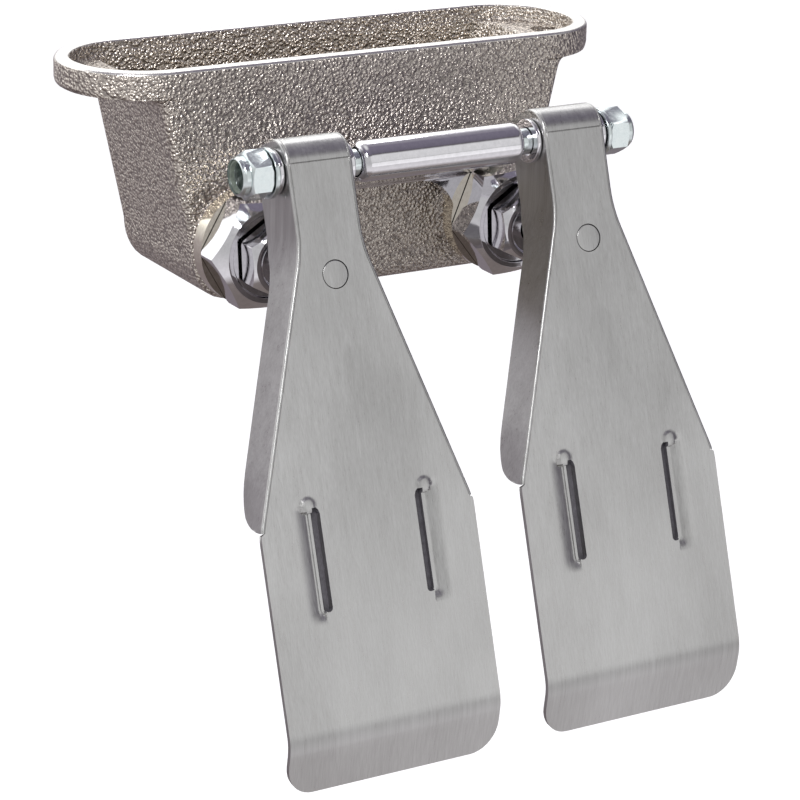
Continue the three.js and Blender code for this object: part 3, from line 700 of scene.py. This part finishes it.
def flange_edge(down):
    """The side flange's back edge, as (y, down), for a row that meets the fold at a distance down."""
    if down <= NECK_END:
        return (EAR_DEPTH, down)
    if down < NECK_END + EAR_BLEND:
        foot = (FLANGE_DEPTH, NECK_END + EAR_BLEND)
        path = curve((EAR_DEPTH, NECK_END), (FLANGE_DEPTH, NECK_END + 8), foot, 100)
        return path[int(round((down - NECK_END) / EAR_BLEND * 100))]
    if down < FLANGE_SWELL:
        return (FLANGE_DEPTH, down)
    path = curve((FLANGE_DEPTH, FLANGE_SWELL), (9.1, 89.6), (5.9, 94.6), 60)
    path += curve((5.9, 94.6), (2, 98.3), (-FACE + FOLD, FLARE_END), 60)[1:]
    t = min((down - FLANGE_SWELL) / (FLARE_END - FLANGE_SWELL), 1.0)
    return path[int(round(t * (len(path) - 1)))]


def rib_height(side, down):
    """How far the pressed ribs take the face forward at a point: behind it where they are negative."""
    away = abs(side)
    started = smoothstep(RIB_TOP - 2.6, RIB_TOP + 0.6, down)
    ended = smoothstep(RIB_BOTTOM - 0.8, RIB_BOTTOM + 3.2, down)
    outwards = min(max((away - RIB_BAR_OUT) / (RIB_SLOPE_OUT - RIB_BAR_OUT), 0.0), 1.0)
    sunk = (1 - outwards) ** 1.7 if away > RIB_BAR_IN - 0.3 else 0.0
    height = -RIB_DEPTH * started * (1 - ended) * sunk
    distance = math.hypot(away - DOME_CENTRE[0], down - DOME_CENTRE[1])
    if distance < DOME_RADIUS:
        height = max(height, DOME_HEIGHT * math.sqrt(1 - (distance / DOME_RADIUS) ** 2) ** 0.8)
    return height


def face_columns():
    """Places across half the face where it carries the ribs, from the middle outwards."""
    return [0, 4, 8, 12, TROUGH_IN, 16.3, 16.9, 17.4, 17.6, 17.8, RIB_BAR_IN, 18.4, 18.85, 19.15, RIB_BAR_OUT,
            19.6, 20.0, 20.5, 21.1, 21.8, 22.5, 23.2, RIB_SLOPE_OUT]


def rib_outline(grow):
    """The trough beside a rib's bar: square at the top, where the dome covers it, and round at the bottom."""
    low, high = TROUGH_IN - grow, RIB_BAR_IN + grow
    radius = (high - low) / 2 - 0.1
    top, bottom = -RIB_TOP + grow, -RIB_BOTTOM - grow
    return ([(low + radius * 0.9, top), (high, top)]
            + arc((high - radius, bottom + radius), radius, 0, -math.pi / 2, 8)
            + arc((low + radius, bottom + radius), radius, -math.pi / 2, -math.pi, 8)
            + [(low, top - radius * 1.6), (low + radius * 0.3, top - radius * 0.6)])


def rib_trough(pedal_piece, sign):
    """Backs the sheet and cuts one trough, on the side given by the sign."""
    for grow, near, far, operation in (
        (PRESSED_WALL, -FACE + SHEET / 2, -FACE + TROUGH_DEPTH + PRESSED_WALL, "UNION"),
        (0.0, -FACE - 2, -FACE + TROUGH_DEPTH, "DIFFERENCE"),
    ):
        outline = [(sign * x, z) for x, z in rib_outline(grow)]
        combine(pedal_piece, prism("trough", outline, "Y", near, far), operation)


def pedal_rows():
    """(kind, value) of each row: an angle round the wrap, or a distance down."""
    rows = [("wrap", WRAP_END * (1 - i / 16)) for i in range(16)]
    wrap_foot = -WRAP_CENTRE[1]
    rows += [("down", wrap_foot), ("crease", wrap_foot + CREASE / 2), ("down", wrap_foot + CREASE)]
    rows += [("down", a) for a in (0, 4, 8, 12, 15, 17, 19, 21, 23, 25, 27, 29, 32, 35, 38, 42)]
    rows += [("down", 42 + 5 * i) for i in range(1, 9)]
    rows += [("down", a) for a in (84, 86, 88, 89.5)]
    rows += [("down", 90.3 + 0.45 * i) for i in range(17)]
    rows += [("down", a) for a in (98.1, FLARE_END, 99.3, 100.4, 101.6, 105, 110, 115, 119)]
    rows += [("down", a) for a in (121.5, 122.6, 123.1, RIB_BOTTOM, 124.2, 124.9, 125.6, 126.3, 127)]
    rows += [("down", a) for a in (130, 137, 144, 151, BEND_START)]
    bend = BEND_RADIUS * math.sin(BEND_ANGLE)
    rows += [("down", BEND_START + bend * i / 6) for i in range(1, 7)]
    rows += [("down", a) for a in (163.5, 164.9)]
    rows += [("down", PEDAL_END - PLATE_CORNER * (1 - math.sin(i / 9 * math.pi / 2))) for i in range(1, 10)]
    return rows


def face_depth(down):
    """Place of the face's outside along the pedal's own y, which bends back near the lower end."""
    if down <= BEND_START:
        return -FACE
    past = down - BEND_START
    reach = BEND_RADIUS * math.sin(BEND_ANGLE)
    if past < reach:
        return -FACE + BEND_RADIUS - math.sqrt(BEND_RADIUS ** 2 - past ** 2)
    return -FACE + BEND_RADIUS * (1 - math.cos(BEND_ANGLE)) + (past - reach) * math.tan(BEND_ANGLE)


def spread(down):
    """The half width that the face's columns are spread over: the full plate's where it carries the ribs."""
    wide = smoothstep(80, 92, down)
    return pedal_half(min(down, 92.0)) * (1 - wide) + PLATE_HALF * wide


def pedal_point(kind, value, half_column, inner):
    """A grid point (side, y, z) on the outer or inner skin, for the half of the pedal on the +side."""
    down = -WRAP_CENTRE[1] if kind == "wrap" else value
    half = pedal_half(down)
    thickness = SHEET if inner else 0.0
    fold = 0.35 if inner else FOLD
    folded = kind == "wrap" or down <= FLARE_END + 0.01
    edge_half = half - thickness if folded else half
    flat_half = edge_half - fold if folded else half
    tag, t = half_column
    angle = value if kind == "wrap" else 0.0

    def placed(side, depth):
        """A point at a depth behind the outer skin, square to it."""
        if kind == "wrap":
            r = WRAP_RADIUS - depth
            return (side, WRAP_CENTRE[0] - r * math.cos(angle), WRAP_CENTRE[1] + r * math.sin(angle))
        bend_slope = math.atan2(face_depth(down + 0.01) - face_depth(down), 0.01)
        return (side, face_depth(down) + depth * math.cos(bend_slope), -down + depth * math.sin(bend_slope))

    if tag == "face":
        side = min(t * spread(down) / PLATE_HALF, flat_half - 1.2 + 0.02 * t)
        return placed(side, thickness - rib_height(side, down))
    base = face_columns()[-1]
    start = min(base * spread(down) / PLATE_HALF, flat_half - 1.2 + 0.02 * base)
    crease = CREASE if folded else 0.0
    if tag == "outer":
        side = start + (flat_half - crease - start) * t
        return placed(side, thickness)
    if tag == "crease":
        deep = CREASE_DEPTH if folded and not inner else 0.0
        return placed(flat_half - crease / 2, thickness + deep)
    if tag == "fold":
        if not folded:
            return placed(half, thickness)
        a = t * math.pi / 2
        return placed(flat_half + fold * math.sin(a), thickness + fold * (1 - math.cos(a)))
    # On the side flange, from the fold to its back edge.
    start_point = placed(edge_half, thickness + fold)
    if kind == "wrap":
        share = 1 - value / WRAP_END
        last = WRAP_RADIUS - (SHEET if inner else 0) - fold
        end = (WRAP_CENTRE[0] - last * math.cos(WRAP_END), WRAP_CENTRE[1] + last * math.sin(WRAP_END))
        path = curve(end, (EAR_DEPTH, 9.0), (EAR_DEPTH, WRAP_CENTRE[1]), 60)
        y, z = path[int(round(share * 60))]
    else:
        y, along = flange_edge(down)
        z = -along
        if folded and down >= FLARE_END - 0.01:
            y, z = start_point[1], start_point[2]
    return (edge_half, start_point[1] + (y - start_point[1]) * t, start_point[2] + (z - start_point[2]) * t)


def pedal(side_name, centre_x):
    """The sheet as two grids, its outer and its inner skin, joined round their edges."""
    half = [("face", u) for u in face_columns()]
    half += [("outer", i / 5) for i in range(1, 6)]
    half += [("crease", 0), ("fold", 0)]
    half += [("fold", i / 5) for i in range(1, 6)]
    half += [("flange", i / 6) for i in range(1, 7)]
    columns = [(-1, c) for c in reversed(half[1:])] + [(1, c) for c in half]
    rows = pedal_rows()
    skins = []
    vertices = []
    for inner in (False, True):
        grid = []
        for kind, value in rows:
            kind_used = "down" if kind == "crease" else kind
            line = []
            for sign, column in columns:
                x, y, z = pedal_point(kind_used, value, column, inner)
                if kind == "crease" and not inner and column[0] in ("face", "outer"):
                    y += CREASE_DEPTH
                line.append(len(vertices))
                vertices.append((sign * x, y, z))
            grid.append(line)
        skins.append(grid)

    def present(r, c):
        """Whether a grid cell is part of the sheet. Folds and side flanges stop where the plate starts."""
        if not (0 <= r < len(rows) - 1 and 0 <= c < len(columns) - 1):
            return False
        kind, start = rows[r]
        flat = kind != "wrap" and start >= FLARE_END - 0.01
        return not (flat and any(tag in ("fold", "flange") and t > 0 for _, (tag, t) in columns[c:c + 2]))

    faces = []
    outer, inner = skins
    for r in range(len(rows) - 1):
        for c in range(len(columns) - 1):
            if not present(r, c):
                continue
            faces.append([outer[r][c], outer[r][c + 1], outer[r + 1][c + 1], outer[r + 1][c]])
            faces.append([inner[r][c], inner[r + 1][c], inner[r + 1][c + 1], inner[r][c + 1]])
            for (dr, dc), (p, q) in {
                (-1, 0): ((r, c), (r, c + 1)),
                (1, 0): ((r + 1, c + 1), (r + 1, c)),
                (0, -1): ((r + 1, c), (r, c)),
                (0, 1): ((r, c + 1), (r + 1, c + 1)),
            }.items():
                if not present(r + dr, c + dc):
                    faces.append([outer[p[0]][p[1]], inner[p[0]][p[1]], inner[q[0]][q[1]], outer[q[0]][q[1]]])
    piece = tidy(new_object(f"pedal {side_name}", vertices, faces), 0.004)
    for sign in (-1, 1):
        rib_trough(piece, sign)
    combine(piece, bar("X", BUSH_RADIUS + GAP, -20, 20), "DIFFERENCE")
    combine(piece, bar("Y", STUD_RADIUS + 0.2, -20, 0, (0, 0, -STUD_DOWN)), "DIFFERENCE")
    soften(piece, 0.16, 2, 50)
    # The trough faces take the near-black material, a painted shade; the rest of the sheet is brushed steel.
    give_materials(piece, STEEL, TROUGH_PAINTED_SHADE)
    for polygon in piece.data.polygons:
        c = polygon.center / MM
        across = TROUGH_IN - 0.05 < abs(c.x) < RIB_BAR_IN + 0.05
        deep = -FACE + 0.3 < c.y < -FACE + TROUGH_DEPTH + 0.05
        polygon.material_index = int(across and deep and RIB_TOP - 0.1 < -c.z < RIB_BOTTOM + 0.1)
    piece.data.transform(to_pedal(centre_x))
    return stand_for(piece, f"pedal_{side_name}")


def to_pedal(centre_x):
    """Takes what is drawn upright at the hinge axis to a pedal's place."""
    place = Vector((centre_x, HINGE.y, HINGE.z)) * MM
    return Matrix.Translation(place) @ Matrix.Rotation(-PEDAL_TILT, 4, "X")


def stud(side_name, centre_x):
    inside = -FACE + SHEET
    profile = [(0, -FACE), (STUD_RADIUS, -FACE), (STUD_RADIUS, inside + 0.3),
               (STUD_RIVET_RADIUS, inside + 0.3), (STUD_RIVET_RADIUS, inside + 0.9), (3.6, inside + 1.6),
               (0, inside + 1.9)]
    piece = turned(f"stud {side_name}", profile, (0, 0, -STUD_DOWN), "Y", 0.28)
    piece.data.transform(to_pedal(centre_x))
    shade(piece)
    return stand_for(piece, f"contact_stud_{side_name}")


# ---------------------------------------------------------------- small pieces
def bushing(side_name, place, centre_x, sign):
    """A flanged bush in a pedal's ear, with its flange on the side given by the sign."""
    start = NECK_HALF + GAP
    profile = [(BUSH_RADIUS, -SHEET - 0.2), (BUSH_RADIUS, 0.0), (BUSH_FLANGE_RADIUS, 0.0),
               (BUSH_FLANGE_RADIUS, BUSH_FLANGE_THICKNESS)]
    profile = [(r, sign * (start + along)) for r, along in profile]
    piece = turned(f"bush {side_name} {place}", profile, (0, 0, 0), "X", 0.35, 96, ROD_RADIUS + GAP)
    piece.data.transform(to_pedal(centre_x))
    shade(piece)
    return stand_for(piece, f"pivot_bushing_{side_name}_{place}")


def nut_end(side_name, centre_x, out):
    """The washer, the lock nut and its nylon ring at one end of the rod."""
    bore = ROD_RADIUS + GAP
    start = centre_x + out * (NECK_HALF + BUSH_FLANGE_THICKNESS + 2 * GAP)
    plain = turned(f"washer {side_name}", [(WASHER_RADIUS, 0), (WASHER_RADIUS, out * WASHER_THICKNESS)],
                   (start, HINGE.y, HINGE.z), "X", 0.25, 96, bore)
    shade(plain)
    stand_for(plain, f"nut_washer_{side_name}")

    seat = start + out * (WASHER_THICKNESS + GAP)
    centre = (seat, HINGE.y, HINGE.z)
    shoulder = NUT_HEIGHT - NUT_CROWN
    low, high = sorted((seat, seat + out * shoulder))
    outline = [(HINGE.y + y, HINGE.z + z) for y, z in hexagon(NUT_FLAT, math.pi / 2)]
    nut = prism(f"lock nut {side_name}", outline, "X", low, high)
    corners_off = [(0, 0), (6.55, 0), (7.35, 0.75), (7.35, shoulder - 0.75), (6.0, shoulder), (0, shoulder)]
    envelope = turned("envelope", [(r, out * along) for r, along in corners_off], centre, "X", 0.15, 120)
    combine(nut, envelope, "INTERSECT")
    crown = [(0, 4), (CROWN_RADIUS, 4), (CROWN_RADIUS, NUT_HEIGHT - 0.9),
             (CROWN_RADIUS - 0.5, NUT_HEIGHT - 0.2), (CROWN_RADIUS - 0.9, NUT_HEIGHT), (0, NUT_HEIGHT)]
    collar = turned("collar", [(r, out * along) for r, along in crown], centre, "X", 0.35, 120)
    combine(nut, collar, "UNION")
    for radius, start_along in ((bore, -1), (CROWN_RADIUS - 0.8, shoulder + 0.2)):
        near, far = sorted((seat + out * start_along, seat + out * (NUT_HEIGHT + 2)))
        combine(nut, bar("X", radius, near, far, (0, HINGE.y, HINGE.z)), "DIFFERENCE")
    soften(nut, 0.16, 2, 22)
    stand_for(nut, f"lock_nut_{side_name}")

    ring_centre = (seat + out * (shoulder + 0.5), HINGE.y, HINGE.z)
    nylon = turned(f"nylon ring {side_name}", [(NYLON_RADIUS, 0), (NYLON_RADIUS, out * NYLON_WIDTH)],
                   ring_centre, "X", 0.2, 96, ROD_RADIUS + GAP / 2)
    shade(nylon)
    stand_for(nylon, f"nut_insert_{side_name}")


def hex_piece(name, across, corner, low, high, profile, centre):
    """A hexagon along Y, trimmed by a turned envelope."""
    outline = [(centre[0] + x, centre[2] + z) for x, z in hexagon(across, corner)]
    piece = prism(name, outline, "Y", low, high)
    return combine(piece, turned("envelope", profile, centre, "Y", 0.3, 144), "INTERSECT")


def bonnet(side_name, centre, corner):
    front, back = BONNET_FRONT, LUG_FRONT - GAP
    piece = hex_piece(f"bonnet {side_name}", BONNET_FLAT, corner, front, back,
                      [(0, back + 1), (17.6, back + 1), (18.35, back - 0.8), (18.35, front + 3.4),
                       (14.4, front), (12.9, front), (12.6, front + 0.9), (0, front + 0.9)], centre)
    shank = THREAD_RADIUS - GAP
    barrel = turned("barrel", [(0, back - 2), (shank, back - 2), (shank, BONNET_BACK), (0, BONNET_BACK)],
                    centre, "Y", 0.3)
    combine(piece, barrel, "UNION")
    combine(piece, bar("Y", 8.2, front - 3, front + 9, centre), "DIFFERENCE")
    combine(piece, bar("Y", STEM_RADIUS + GAP, -50, -20, centre), "DIFFERENCE")
    combine(piece, bar("Y", SHANK_RADIUS + GAP, -22, 0, centre), "DIFFERENCE")
    soften(piece, 0.28, 3, 24)
    stand_for(piece, f"bonnet_{side_name}")


def gland_nut(side_name, centre):
    root, tip = BONNET_FRONT, GLAND_FRONT
    piece = hex_piece(f"gland nut {side_name}", GLAND_FLAT, math.radians(33), tip, root - GAP,
                      [(0, root), (11.2, root), (11.85, root - 0.7), (11.85, tip + 2.0), (9.7, tip + 0.25),
                       (9.0, tip), (8.2, tip), (7.7, tip + 0.8), (0, tip + 0.8)], centre)
    combine(piece, bar("Y", 7.9, root - 1, root + 5, centre), "UNION")
    combine(piece, bar("Y", STEM_RADIUS + GAP, -60, -30, centre), "DIFFERENCE")
    soften(piece, 0.25, 3, 24)
    stand_for(piece, f"gland_nut_{side_name}")


def stem(side_name, centre):
    low, high = stem_low.y, stem_high.y
    radius = STEM_RADIUS - 0.05
    profile = [(0, low), (2.4, low + 0.35), (3.9, low + 1.4), (radius, low + 3), (radius, -27),
               (SHANK_RADIUS, -26), (SHANK_RADIUS, high), (0, high)]
    piece = turned(f"stem {side_name}", profile, centre, "Y", 0.5)
    shade(piece)
    stand_for(piece, f"stem_{side_name}")


def hinge_rod():
    radius = ROD_RADIUS - 0.02
    low, high = rod_low.x, rod_high.x
    profile = [(0, low), (ROD_RADIUS - 0.6, low), (radius, low + 0.7), (radius, high - 0.7),
               (ROD_RADIUS - 0.6, high), (0, high)]
    piece = turned("hinge rod", profile, (0, HINGE.y, HINGE.z), "X", 0.15)
    shade(piece)
    stand_for(piece, "hinge_rod")


valve_body()
yoke()
hinge_rod()
for side_name, x, out, corner in (("left", -STATION_X, -1, math.pi),
                                  ("right", STATION_X, 1, math.radians(248))):
    pedal(side_name, x)
    stud(side_name, x)
    bushing(side_name, "outer", x, out)
    bushing(side_name, "inner", x, -out)
    nut_end(side_name, x, out)
    bonnet(side_name, (x, 0, STATION_Z), corner)
    gland_nut(side_name, (x, 0, STATION_Z))
    stem(side_name, (x, 0, STATION_Z))

# The sealed inner pieces keep their CAD shape, with the finish of their slot.
for prefix in ("gland_packing", "seat_ring", "seat_washer", "disc_holder", "closing_spring"):
    for side_name in ("left", "right"):
        node = f"{prefix}_{side_name}"
        give_materials(frame["nodes"][node], SLOTS[SLOT_OF[node]])


# ---------------------------------------------------------------- floor, light and camera
def stage():
    """A white floor with a white wall round it. The metal mirrors the room beyond them instead."""
    height = -0.75
    far = 12.0
    corners = [(x, y, height) for x, y in ((-far, -far), (far, -far), (far, far), (-far, far))]
    floor = new_object("floor", corners, [[0, 1, 2, 3]], 1.0)
    rim = arc((0, 0), far - 0.1, 0, 2 * math.pi, 64)[:-1]
    count = len(rim)
    wall = new_object("wall", [(x, y, z) for z in (height, far) for x, y in rim],
                      [[i, (i + 1) % count, (i + 1) % count + count, i + count] for i in range(count)], 1.0)
    # Only the camera sees the wall: it lights nothing and shades nothing.
    wall.visible_diffuse = False
    wall.visible_shadow = False
    for piece, glow in ((floor, 0.45), (wall, 1.0)):
        n = Nodes(f"pale {piece.name}")
        n.link(n.ramp(n.noise(n.place, 3, 2.0), [(0.3, (0.93, 0.93, 0.93)), (0.7, (0.95, 0.95, 0.95))]),
               n.shader.inputs["Base Color"])
        n.shader.inputs["Roughness"].default_value = 0.9
        n.shader.inputs["Specular IOR Level"].default_value = 0.1
        n.shader.inputs["Emission Color"].default_value = (1, 1, 1, 1)
        n.shader.inputs["Emission Strength"].default_value = glow
        piece.data.materials.append(n.material)
        piece.visible_glossy = False


# The room's brightness by direction: (sine of the height, colour), from straight down to straight up.
FRONT_WALL = [(-1.0, (0.20, 0.17, 0.16)), (-0.78, (0.24, 0.21, 0.20)), (-0.62, (0.86, 0.84, 0.86)),
              (-0.34, (0.74, 0.73, 0.74)), (0.0, (0.57, 0.57, 0.57)), (0.56, (0.60, 0.60, 0.60)),
              (0.62, (0.12, 0.11, 0.12)), (0.68, (0.17, 0.155, 0.20)), (0.93, (0.23, 0.21, 0.27)),
              (1.0, (0.9, 0.9, 0.9))]
BACK_WALL = [(-1.0, (0.18, 0.15, 0.15)), (-0.5, (0.24, 0.21, 0.23)), (-0.1, (0.44, 0.41, 0.44)),
             (0.12, (0.85, 0.84, 0.85)), (0.24, (1.5, 1.5, 1.5)), (0.64, (1.5, 1.5, 1.5)),
             (0.8, (0.40, 0.38, 0.43)), (1.0, (0.9, 0.9, 0.9))]
SIDE_WALL = (0.17, 0.155, 0.19)


def world_light():
    """A grey room: a dim band round its ceiling, a bright wall at the back and a dark one on the right."""
    world = bpy.data.worlds.new("studio")
    bpy.context.scene.world = world
    world.use_nodes = True
    tree = world.node_tree
    background = tree.nodes["Background"]
    coordinates = tree.nodes.new("ShaderNodeTexCoord")
    split = tree.nodes.new("ShaderNodeSeparateXYZ")
    tree.links.new(coordinates.outputs["Generated"], split.inputs[0])

    def scaled(output, low, high):
        node = tree.nodes.new("ShaderNodeMapRange")
        node.inputs["From Min"].default_value = low
        node.inputs["From Max"].default_value = high
        tree.links.new(output, node.inputs["Value"])
        return node.outputs["Result"]

    height = scaled(split.outputs["Z"], -1.0, 1.0)
    mix = tree.nodes.new("ShaderNodeMix")
    mix.data_type = "RGBA"
    tree.links.new(scaled(split.outputs["Y"], 0.0, 0.45), mix.inputs[0])
    for wall, target in ((FRONT_WALL, mix.inputs[6]), (BACK_WALL, mix.inputs[7])):
        ramp = tree.nodes.new("ShaderNodeValToRGB")
        fill_ramp(ramp, [((sine + 1) / 2, color) for sine, color in wall])
        tree.links.new(height, ramp.inputs["Fac"])
        tree.links.new(ramp.outputs["Color"], target)
    side = tree.nodes.new("ShaderNodeMix")
    side.data_type = "RGBA"
    side.inputs[7].default_value = (*SIDE_WALL, 1)
    tree.links.new(scaled(split.outputs["X"], 0.70, 0.88), side.inputs[0])
    tree.links.new(mix.outputs[2], side.inputs[6])
    tree.links.new(side.outputs[2], background.inputs["Color"])
    background.inputs["Strength"].default_value = 1.0


def area_light(name, place, target, size, power):
    light = bpy.data.lights.new(name, "AREA")
    light.shape = "RECTANGLE"
    light.size, light.size_y = size
    light.energy = power
    lamp = bpy.data.objects.new(name, light)
    bpy.context.scene.collection.objects.link(lamp)
    lamp.location = place
    lamp.rotation_euler = (Vector(target) - Vector(place)).to_track_quat("-Z", "Y").to_euler()
    return lamp


def camera():
    """The photograph's view of the part."""
    place = (-0.43914, -0.78029, 0.19235)
    azimuth, elevation, roll = math.radians(-30.92), math.radians(19.04), math.radians(1.43)
    forward = Vector((-math.sin(azimuth) * math.cos(elevation), math.cos(azimuth) * math.cos(elevation),
                      -math.sin(elevation)))
    level = Vector((math.cos(azimuth), math.sin(azimuth), 0))
    upright = level.cross(forward)
    right = level * math.cos(roll) + upright * math.sin(roll)
    up = upright * math.cos(roll) - level * math.sin(roll)
    data = bpy.data.cameras.new("camera")
    data.sensor_width = 36
    data.lens = 134.66
    data.clip_end = 50
    shooter = bpy.data.objects.new("camera", data)
    bpy.context.scene.collection.objects.link(shooter)
    turn = Matrix((right, up, -forward)).transposed().to_4x4()
    shooter.matrix_world = Matrix.Translation(place) @ turn
    bpy.context.scene.camera = shooter


stage()
world_light()
area_light("key", (-0.9, -1.1, 1.2), (0, 0, -0.08), (0.5, 0.5), 15)
area_light("fill", (0.6, -1.4, 0.45), (0, 0, -0.08), (0.8, 0.9), 0.5)
area_light("low fill", (0.25, -0.53, -0.12), (0.02, -0.1, -0.15), (0.30, 0.18), 0.07)
area_light("top back", (0.1, 0.8, 1.1), (0, -0.03, -0.05), (1.4, 0.5), 5)
camera()
bpy.context.scene.view_settings.view_transform = "Standard"
